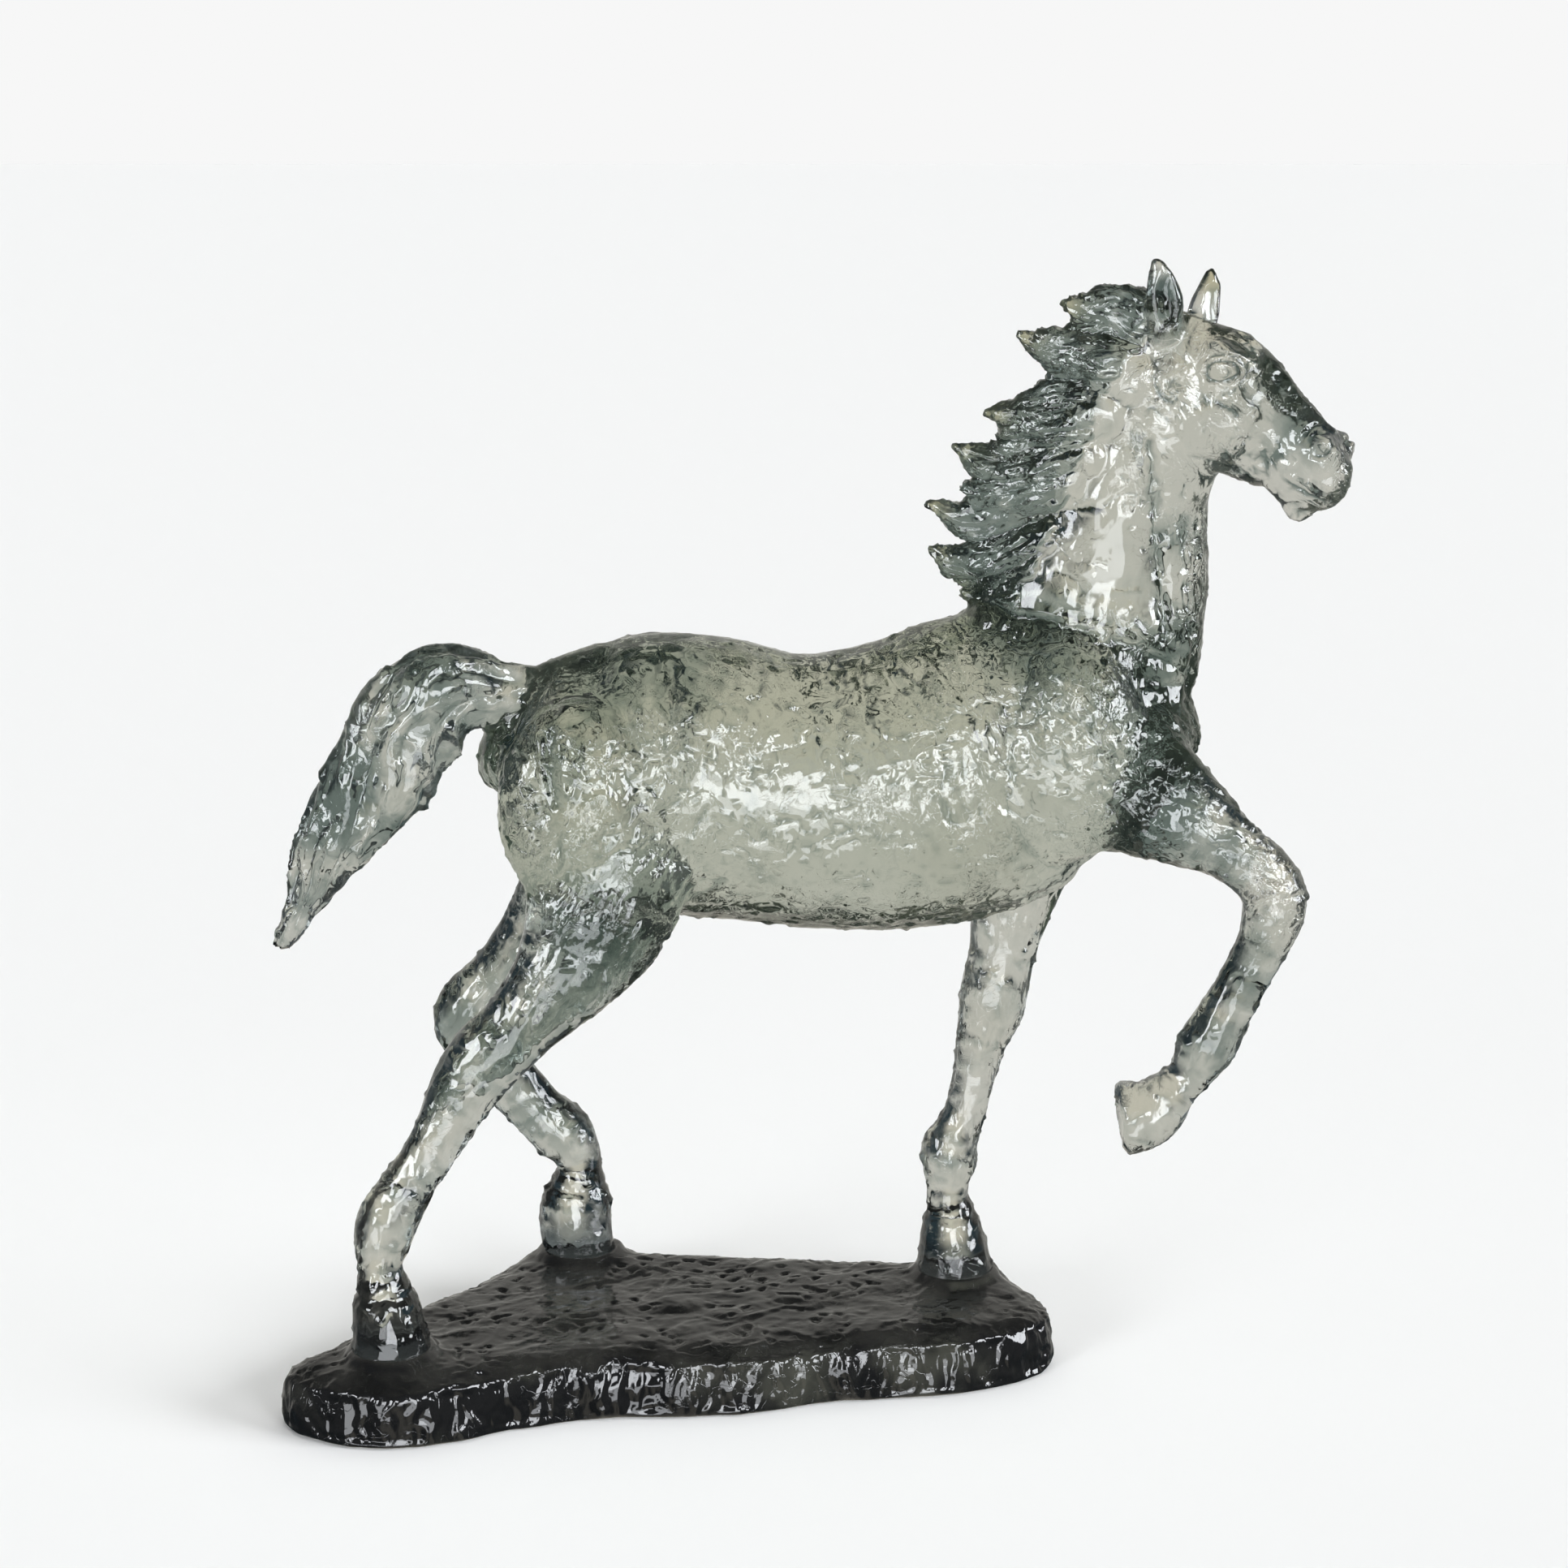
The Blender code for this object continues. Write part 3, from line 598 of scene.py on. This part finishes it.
# Places on the figure with painted shade, for the dark room seen through the resin: (x, z), radius and
# how dark
PAINTED_SHADE_SPOTS = [
    ((-24, 326), 22, 0.75),
    ((12, 330), 18, 0.55),
    ((-47, 296), 20, 0.5),
    ((-24, 222), 20, 0.4),
    ((-40, 200), 24, 0.55),
    ((-78, 160), 26, 0.35),
    ((150, 356), 16, 1.0),
    ((178, 340), 20, 1.1),
    ((226, 322), 22, 0.8),
    ((236, 285), 20, 0.8),
    ((228, 252), 16, 0.8),
    ((238, 392), 10, 0.5),
    ((245, 345), 10, 0.5),
    ((290, 470), 15, 0.75),
    ((294, 444), 12, 0.7),
    ((236, 492), 10, 0.6),
    ((230, 508), 9, 1.2),
    ((-112, 328), 16, 0.7),
    ((-156, 276), 14, 1.4),
    ((-164, 258), 12, 1.4),
    ((-122, 246), 12, 0.55),
    ((245, 262), 18, 0.5),
    ((276, 196), 20, 0.5),
    ((268, 240), 14, 0.55),
    ((262, 150), 16, 0.45),
    ((-112, 133), 16, 0.5),
    ((-66, 80), 20, 0.5),
    ((-120, 80), 18, 0.25),
]
# Olive places, clearer than the rest: the far ear's tip and the tips of the locks
OLIVES = [((256, 510), 7)] + [(lock[-1], 10) for lock in MANE_LOCKS]


def resin_colour_and_shade(spots, relief, mane, tail, face):
    """The resin's colour at each point: clear, faintly smoky and olive, with painted shade darkening
    patches, grooves and the lower hooves.
    """
    flat = spots[:, (0, 2)]
    streaky = soft_noise(warped(spots, 12, 5, 511) / (9, 9, 17), 513) + 0.5 * soft_noise(spots / 5, 517)
    # A faint smoke all over, and painted shade on the mane, the tail, the legs and the listed spots, for
    # the dark room seen through the resin
    dark_tone = 0.08 + 0.72 * mane + 0.24 * tail + 0.1 * leg_share(spots)
    for spot, radius, amount in PAINTED_SHADE_SPOTS:
        dark_tone += amount * bell(np.linalg.norm(flat - spot, axis=1), radius)
    olive = np.zeros(len(spots))
    for spot, radius in OLIVES:
        olive = np.maximum(olive, bell(np.linalg.norm(flat - spot, axis=1), radius))
    dark_tone *= 1 - 0.6 * olive
    dark_tone = np.clip(dark_tone, 0, 1) * (0.3 + 0.8 * smooth_step(dark_tone + 0.5 * streaky, 0.3, 0.55))
    # Painted shade: the grooves are darkened, most of all on the face
    dark_tone += (0.6 + 1.2 * face) * smooth_step(-relief, 0.4 - 0.1 * face, 1.5 - 0.6 * face)
    colours = np.array(CLEAR) ** (1 - dark_tone)[:, None] * np.array(SMOKY_AND_PAINTED_SHADE) ** dark_tone[:, None]
    colours *= np.array(OLIVE) ** (0.7 * olive)[:, None]
    # Painted shade: the hooves darken towards the soles, for the dark base seen through them
    line = 13 + 5 * soft_noise(spots / 11, 521)
    sole_shade = smooth_step(line - spots[:, 2], -2.5, 2.5)[:, None]
    return colours * (1 - sole_shade) + np.array(PAINTED_SOLE_SHADE) * sole_shade


def worked_horse():
    """The whole figure with its worked surface, replacing the plain solid."""
    piece = fine_copy("horse_figure", "horse", HORSE_GRAIN)
    mesh = piece.data
    pairs = edges(mesh)
    points = relaxed(positions(mesh), pairs, HORSE_PASSES)
    set_positions(mesh, points)

    spots = (points - (0, 0, SOLE_Z)) / MM
    ears = ear_share(spots)
    share, behind = mane_share(spots)
    share *= 1 - ears
    tail, face = tail_share(spots), face_share(spots)
    relief, worked = body_relief(spots)
    relief *= (1 - 0.7 * face) * (1 - 0.8 * share) * (1 - 0.9 * tail) * (1 - 0.8 * ears)
    worked *= (1 - 0.3 * share) * (1 - 0.85 * tail)
    worked = np.maximum(worked, 0.5 * face)
    parts = [(face * (1 - ears), face_relief), (tail, tail_relief), (share, mane_relief)]
    for part, own_relief in parts:
        there = part > 0
        relief[there] += part[there] * own_relief(spots[there])
    # The hair stands a little above the neck where it starts
    relief += 1.6 * share * bell(np.maximum(behind, 0), 9)
    relief -= ear_hollow(spots)
    # The line of the back and the croup is smoother
    upward = smooth_step(normals(mesh)[:, 2], 0.55, 0.9) * smooth_step(spots[:, 2], 280, 310)
    relief *= 1 - 0.6 * upward * (1 - share) * (1 - face) * (1 - tail)
    colours = resin_colour_and_shade(spots, relief, share, tail, face * (1 - ears))
    tint_and_shade = mesh.color_attributes.new(TINT_AND_SHADE, "FLOAT_COLOR", "POINT")
    opaque = np.column_stack([colours, np.ones(len(colours))])
    tint_and_shade.data.foreach_set("color", opaque.astype(np.float32).ravel())
    mesh.attributes.new(WORKED, "FLOAT", "POINT").data.foreach_set("value", worked.astype(np.float32))
    # Nothing is moved where the hooves stand on the base
    relief *= smooth_step(spots[:, 2], 0, 5)
    points = points + normals(mesh) * (relief * MM)[:, None]
    points = relaxed(points, pairs, 1, 0.3)
    # The soles reach into the base, as the two resins are cast together
    soles = points[:, 2] < SOLE_Z + SOLE_BAND
    points[soles, 2] -= SOLE_SINK
    set_positions(mesh, points)
    return thinned(piece, MOST_TRIANGLES)


# Where the hooves stand on the base (x, y) and how wide they are
HOOVES = [(-134, -55), (-50, 70), (146, 43)]
HOOF_RADIUS = 19.5
# Smoothing that is undone by this little also rounds the form
SHRINKING = 0.25
# How deep the base's marks are, in millimetres: planes, folds and pits on top, falls and bulges
# on the sides, ripples on the upper edge, and the collar round each hoof
BASE_PLANES = 1.3
BASE_PITS = 1.2
BASE_FALLS = 1.5
BASE_BULGES = 2.0
BASE_RIPPLES = 1.5
COLLAR = 2.8
BASE_SINK = 1.2


def worked_base():
    """The base with its strokes and rippled sides, replacing the plain solid."""
    piece = fine_copy("dark_base", "base", BASE_GRAIN)
    mesh = piece.data
    pairs = edges(mesh)
    points = relaxed(positions(mesh), pairs, BASE_PASSES)
    points = relaxed(points, pairs, 6, undone=SHRINKING)
    spots = points / MM
    hoof_gap = np.min([np.hypot(spots[:, 0] - x, spots[:, 1] - y) for x, y in HOOVES], axis=0)
    # The upper edge rolls over softly, away from the hooves
    rolled = smooth_step(spots[:, 2], 6, 20) * smooth_step(hoof_gap, HOOF_RADIUS, HOOF_RADIUS + 14)
    points += rolled[:, None] * (relaxed(points, pairs, ROLLING_PASSES, undone=SHRINKING) - points)
    set_positions(mesh, points)
    facing = normals(mesh)
    low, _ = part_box("base")
    spots = points / MM
    top = smooth_step(facing[:, 2], 0.35, 0.9)
    side = smooth_step(1 - np.abs(facing[:, 2]), 0.35, 0.8)
    rim = smooth_step(spots[:, 2], 18, 30) * bell(facing[:, 2] - 0.55, 0.4)

    swept = spots @ np.array(((0.92, -0.39, 0), (0.39, 0.92, 0), (0, 0, 1)))
    wandering = warped(swept, 24, 7, 205)
    flats = pressed_clay(wandering / (58, 30, 36), 201)
    flats += 0.4 * pressed_clay(wandering / (26, 14, 16), 211)
    folds = ridges(wandering / (75, 30, 36), 221, 2) - 0.5
    patchy = smooth_step(soft_noise(spots / 30, 225), -0.1, 0.6)
    on_top = BASE_PLANES * flats + (0.5 + 0.6 * patchy) * folds
    on_top += 0.4 * patchy**2 * (ridges(wandering / (8, 5, 5), 227, 2) - 0.5)
    pits = smooth_step(soft_noise(spots / (7, 4.5, 6), 229), 0.42, 0.6)
    on_top -= BASE_PITS * pits * smooth_step(soft_noise(spots / 26, 231), -0.25, 0.25)

    run = warped(spots, 10, 2.4, 245)
    falls = ridges(run / (8, 8, 34), 241, 2) - 0.5
    on_side = BASE_FALLS * falls + BASE_BULGES * soft_noise(spots / (20, 20, 44), 251)
    broken = smooth_step(soft_noise(spots / 19, 253), -0.2, 0.4)
    on_side += 0.7 * broken * pressed_clay(run / (8, 8, 12), 261)
    on_rim = BASE_RIPPLES * (ridges(run / (9, 9, 11), 271, 2) - 0.5) + soft_noise(spots / 13, 273)
    relief = on_top * top + on_side * side + on_rim * rim
    # The surface sinks by as much as the strokes may rise, so the base keeps its size
    relief -= BASE_SINK * np.maximum(top, side)
    relief *= 1 - top * smooth_step(-hoof_gap, -HOOF_RADIUS - 5, -HOOF_RADIUS + 2)
    collar = bell(np.maximum(hoof_gap - HOOF_RADIUS, 0), 3.6)
    relief += COLLAR * top * collar * smooth_step(hoof_gap, HOOF_RADIUS - 4, HOOF_RADIUS)
    relief *= smooth_step(spots[:, 2], -0.5, 2.5)
    points = points + facing * (relief * MM)[:, None]
    points = relaxed(points, pairs, 1, 0.3)
    points[:, 2] = np.maximum(points[:, 2], low.z)
    set_positions(mesh, points)
    return thinned(piece, MOST_TRIANGLES)


# Materials

RESIN_IOR = 1.5
CLEAR_ROUGHNESS = 0.012
# What a metre of clear resin lets through, and how strongly it does so
THROUGH_CLEAR = (0.74, 0.785, 0.71)
CLEAR_DENSITY = 11.0
PLAIN = (1.0, 1.0, 1.0)
WARMER = (0.96, 0.95, 0.92)
# The dark resin, from its darkest to its smokiest, on the sides and on top
SIDE_BLACK = (0.005, 0.005, 0.005)
SIDE_SMOKY = (0.035, 0.035, 0.028)
TOP_BLACK = (0.005, 0.005, 0.0045)
TOP_SMOKY = (0.017, 0.0165, 0.0145)


class Nodes:
    """Short ways to add the nodes of one shader tree and join them up."""

    def __init__(self, tree):
        self.tree = tree

    def add(self, kind, inputs=(), **settings):
        node = self.tree.nodes.new(kind)
        for name, value in settings.items():
            setattr(node, name, value)
        for key, value in dict(inputs).items():
            self.fill(node.inputs[key], value)
        return node

    def fill(self, socket, value):
        """Sets a socket to a plain value, or joins it to another node's output."""
        if isinstance(value, bpy.types.NodeSocket):
            self.tree.links.new(value, socket)
        elif socket.type == "RGBA" and len(value) == 3:
            socket.default_value = (*value, 1)
        else:
            socket.default_value = value

    def place(self):
        return self.add("ShaderNodeTexCoord").outputs["Object"]

    def noise(self, where, scale, detail=2.0, warp=0.0):
        inputs = {"Vector": where, "Scale": scale, "Detail": detail, "Distortion": warp}
        return self.add("ShaderNodeTexNoise", inputs).outputs["Fac"]

    def math(self, operation, first, second=0.0):
        return self.add("ShaderNodeMath", {0: first, 1: second}, operation=operation).outputs[0]

    def ramp(self, value, low, high, to_low=0.0, to_high=1.0):
        inputs = {"Value": value, "From Min": low, "From Max": high, "To Min": to_low, "To Max": to_high}
        return self.add("ShaderNodeMapRange", inputs, interpolation_type="SMOOTHSTEP").outputs[0]

    def mix(self, share, first, second):
        node = self.add("ShaderNodeMix", data_type="RGBA")
        colours = [socket for socket in node.inputs if socket.type == "RGBA"]
        self.fill(node.inputs["Factor"], share)
        self.fill(colours[0], first)
        self.fill(colours[1], second)
        return next(socket for socket in node.outputs if socket.type == "RGBA")

    def bump(self, height, strength, distance, under=None):
        inputs = {"Height": height, "Strength": strength, "Distance": distance}
        if under is not None:
            inputs["Normal"] = under
        return self.add("ShaderNodeBump", inputs).outputs["Normal"]


def new_material(name):
    material = bpy.data.materials.new(name)
    material.use_nodes = True
    return material, Nodes(material.node_tree), material.node_tree.nodes["Principled BSDF"]


def hairline_cracks(nodes, where, scale, width):
    """Thin wandering lines where a slow noise crosses its middle, kept in patches."""
    field = nodes.math("SUBTRACT", nodes.noise(where, scale, 2, 0.6), 0.5)
    line = nodes.ramp(nodes.math("ABSOLUTE", field), 0.0, width)
    patches = nodes.ramp(nodes.noise(where, 26, 1), 0.45, 0.58)
    missing = nodes.math("SUBTRACT", 1.0, patches)
    return nodes.math("MAXIMUM", line, missing)


def clear_resin():
    """Clear cast resin, a faint grey-green with painted shade from the mesh's colour, and a finely
    worked surface.
    """
    material, nodes, shader = new_material("clear resin")
    where = nodes.place()
    shader.inputs["Roughness"].default_value = CLEAR_ROUGHNESS
    shader.inputs["IOR"].default_value = RESIN_IOR
    shader.inputs["Transmission Weight"].default_value = 1.0
    warm = nodes.mix(nodes.ramp(nodes.noise(where, 14, 2), 0.45, 0.7), PLAIN, WARMER)
    # The mesh's colour, with its painted shade
    placed = nodes.add("ShaderNodeAttribute", attribute_name=TINT_AND_SHADE).outputs["Color"]
    tint_and_shade = nodes.mix(1.0, placed, warm)
    tint_and_shade.node.blend_type = "MULTIPLY"
    nodes.fill(shader.inputs["Base Color"], tint_and_shade)
    worked = nodes.add("ShaderNodeAttribute", attribute_name=WORKED).outputs["Fac"]
    grain = nodes.math("MULTIPLY", nodes.noise(where, 300, 2, 0.8), worked)
    wide_cracks = hairline_cracks(nodes, where, 75, 0.012)
    fine_cracks = hairline_cracks(nodes, where, 170, 0.03)
    cracks = nodes.math("ADD", wide_cracks, fine_cracks)
    cracks = nodes.math("MULTIPLY", cracks, nodes.ramp(worked, 0.0, 0.4, 0.2, 1.0))
    under = nodes.bump(grain, 0.4, 0.0006)
    nodes.fill(shader.inputs["Normal"], nodes.bump(cracks, 0.35, 0.0004, under))
    absorb = nodes.add("ShaderNodeVolumeAbsorption", {"Color": THROUGH_CLEAR, "Density": CLEAR_DENSITY})
    out = next(n for n in material.node_tree.nodes if n.type == "OUTPUT_MATERIAL")
    nodes.fill(out.inputs["Volume"], absorb.outputs["Volume"])
    return material


def dark_resin():
    """Smoke-dark cast resin, wet and glossy, with duller patches on top."""
    material, nodes, shader = new_material("dark resin")
    where = nodes.place()
    shader.inputs["IOR"].default_value = RESIN_IOR
    facing = nodes.add("ShaderNodeNewGeometry").outputs["Normal"]
    up = nodes.add("ShaderNodeSeparateXYZ", {0: facing}).outputs[2]
    top = nodes.ramp(up, 0.55, 0.95)
    dark_tone = nodes.mix(nodes.ramp(nodes.noise(where, 22, 3), 0.5, 0.75), SIDE_BLACK, SIDE_SMOKY)
    satin = nodes.mix(nodes.ramp(nodes.noise(where, 40, 4), 0.35, 0.65), TOP_BLACK, TOP_SMOKY)
    nodes.fill(shader.inputs["Base Color"], nodes.mix(top, dark_tone, satin))
    dull = nodes.ramp(nodes.noise(where, 45, 4), 0.35, 0.65, 0.06, 0.2)
    wet = nodes.ramp(nodes.noise(where, 60, 4), 0.3, 0.7, 0.03, 0.08)
    dulled = nodes.math("MULTIPLY", dull, top)
    wetted = nodes.math("MULTIPLY", wet, nodes.math("SUBTRACT", 1.0, top))
    nodes.fill(shader.inputs["Roughness"], nodes.math("ADD", dulled, wetted))
    patches = nodes.ramp(nodes.noise(where, 30, 1), 0.45, 0.65, 0.15, 1.0)
    grain = nodes.math("MULTIPLY", nodes.noise(where, 240, 3, 0.6), patches)
    under = nodes.bump(grain, 0.3, 0.0008)
    cracks = hairline_cracks(nodes, where, 75, 0.012)
    nodes.fill(shader.inputs["Normal"], nodes.bump(cracks, 0.35, 0.0005, under))
    return material


# Studio

FLOOR_SIZE = 30
FLOOR_Z = -0.5 * MM
FLOOR_COLOUR = (0.88, 0.87, 0.85, 1)
OVERHEAD_ENERGY = 0.9
OVERHEAD_ANGLE = 70
CAMERA_AT = (0.057, -1.398, 0.656)
CAMERA_TILT = 14.04
LENS = 68.44
SENSOR_WIDTH = 36
# The room: what the camera sees behind the figure, and what the resin mirrors and lets through
PALE = (0.93, 0.93, 0.93)
BACK_WALL = (0.61, 0.60, 0.56)
DARK_ABOVE = (0.07, 0.075, 0.08)
ROOM_IN_FRONT = (0.12, 0.13, 0.14)
TABLE_BELOW = (0.64, 0.61, 0.53)
DARK_BELOW = (0.02, 0.035, 0.045)
WINDOW = (0.93, 0.96, 1.0)
# How much of a window's light shows through the clear resin, next to what is mirrored on it
WINDOW_SEEN_THROUGH = 0.06
# Soft windows, as degrees (round from the front, up, half width, half height) and brightness
WINDOWS = [
    (5, 4, 10, 11, 13.0),
    (34, 20, 8, 8, 16.0),
    (70, 14, 15, 15, 17.0),
    (-42, 12, 9, 12, 16.0),
    (-6, -15, 22, 7, 6.0),
]


def studio():
    """A plain pale floor, and a plain soft room with dark above it and below."""
    bpy.ops.mesh.primitive_plane_add(size=1)
    floor = bpy.context.object
    floor.name = "floor"
    floor.scale = (FLOOR_SIZE, FLOOR_SIZE, 1)
    floor.location = (0, 0, FLOOR_Z)
    floor.visible_transmission = False
    floor.visible_glossy = False
    material, nodes, shader = new_material("pale floor")
    shader.inputs["Base Color"].default_value = FLOOR_COLOUR
    shader.inputs["Roughness"].default_value = 0.9
    shader.inputs["Specular IOR Level"].default_value = 0.0
    floor.data.materials.append(material)

    world = bpy.data.worlds.new("studio")
    world.use_nodes = True
    bpy.context.scene.world = world
    bpy.context.scene.view_settings.view_transform = "Standard"
    nodes = Nodes(world.node_tree)
    towards = nodes.add("ShaderNodeTexCoord").outputs["Generated"]
    x, y, z = nodes.add("ShaderNodeSeparateXYZ", {0: towards}).outputs
    colour = nodes.mix(nodes.ramp(y, 0.2, 0.65), ROOM_IN_FRONT, BACK_WALL)
    colour = nodes.mix(nodes.ramp(z, 0.5, 0.8), colour, DARK_ABOVE)
    below = nodes.mix(nodes.ramp(nodes.math("ABSOLUTE", x), 0.08, 0.4), TABLE_BELOW, DARK_BELOW)
    colour = nodes.mix(nodes.ramp(z, -0.25, -0.55), colour, below)
    round_from_front = nodes.math("ARCTAN2", x, nodes.math("MULTIPLY", y, -1.0))
    height = nodes.math("ARCSINE", z)
    paths = nodes.add("ShaderNodeLightPath").outputs
    shown = nodes.ramp(paths["Is Transmission Ray"], 0.0, 1.0, 1.0, WINDOW_SEEN_THROUGH)
    for around, up, half_width, half_height, power in WINDOWS:
        inside = shown
        for angle, centre, half in ((round_from_front, around, half_width), (height, up, half_height)):
            away = nodes.math("ABSOLUTE", nodes.math("SUBTRACT", angle, math.radians(centre)))
            within = nodes.ramp(away, math.radians(half + 2), math.radians(half - 2))
            inside = nodes.math("MULTIPLY", within, inside)
        colour = nodes.mix(inside, colour, tuple(power * part for part in WINDOW))
    colour = nodes.mix(paths["Is Camera Ray"], colour, PALE)
    nodes.fill(world.node_tree.nodes["Background"].inputs["Color"], colour)


def overhead_light():
    """Soft light from above that the floor and the base catch, too wide to cast a hard shadow."""
    light = bpy.data.lights.new("overhead", "SUN")
    light.energy = OVERHEAD_ENERGY
    light.angle = math.radians(OVERHEAD_ANGLE)
    lamp = bpy.data.objects.new("overhead", light)
    lamp.visible_glossy = False
    lamp.visible_transmission = False
    bpy.context.scene.collection.objects.link(lamp)


def camera():
    """A camera where the photographer's stood."""
    seen = bpy.data.objects.new("camera", bpy.data.cameras.new("camera"))
    bpy.context.scene.collection.objects.link(seen)
    seen.location = CAMERA_AT
    seen.rotation_euler = (math.radians(90 - CAMERA_TILT), 0, 0)
    seen.data.lens = LENS
    seen.data.sensor_width = SENSOR_WIDTH
    bpy.context.scene.camera = seen


camera()
studio()
overhead_light()

horse = worked_horse()
horse.data.materials.append(clear_resin())
# Clear resin lets the light through to the base and the floor
horse.visible_shadow = False
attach(horse, "root")
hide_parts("horse")

base = worked_base()
base.data.materials.append(dark_resin())
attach(base, "root")
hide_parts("base")
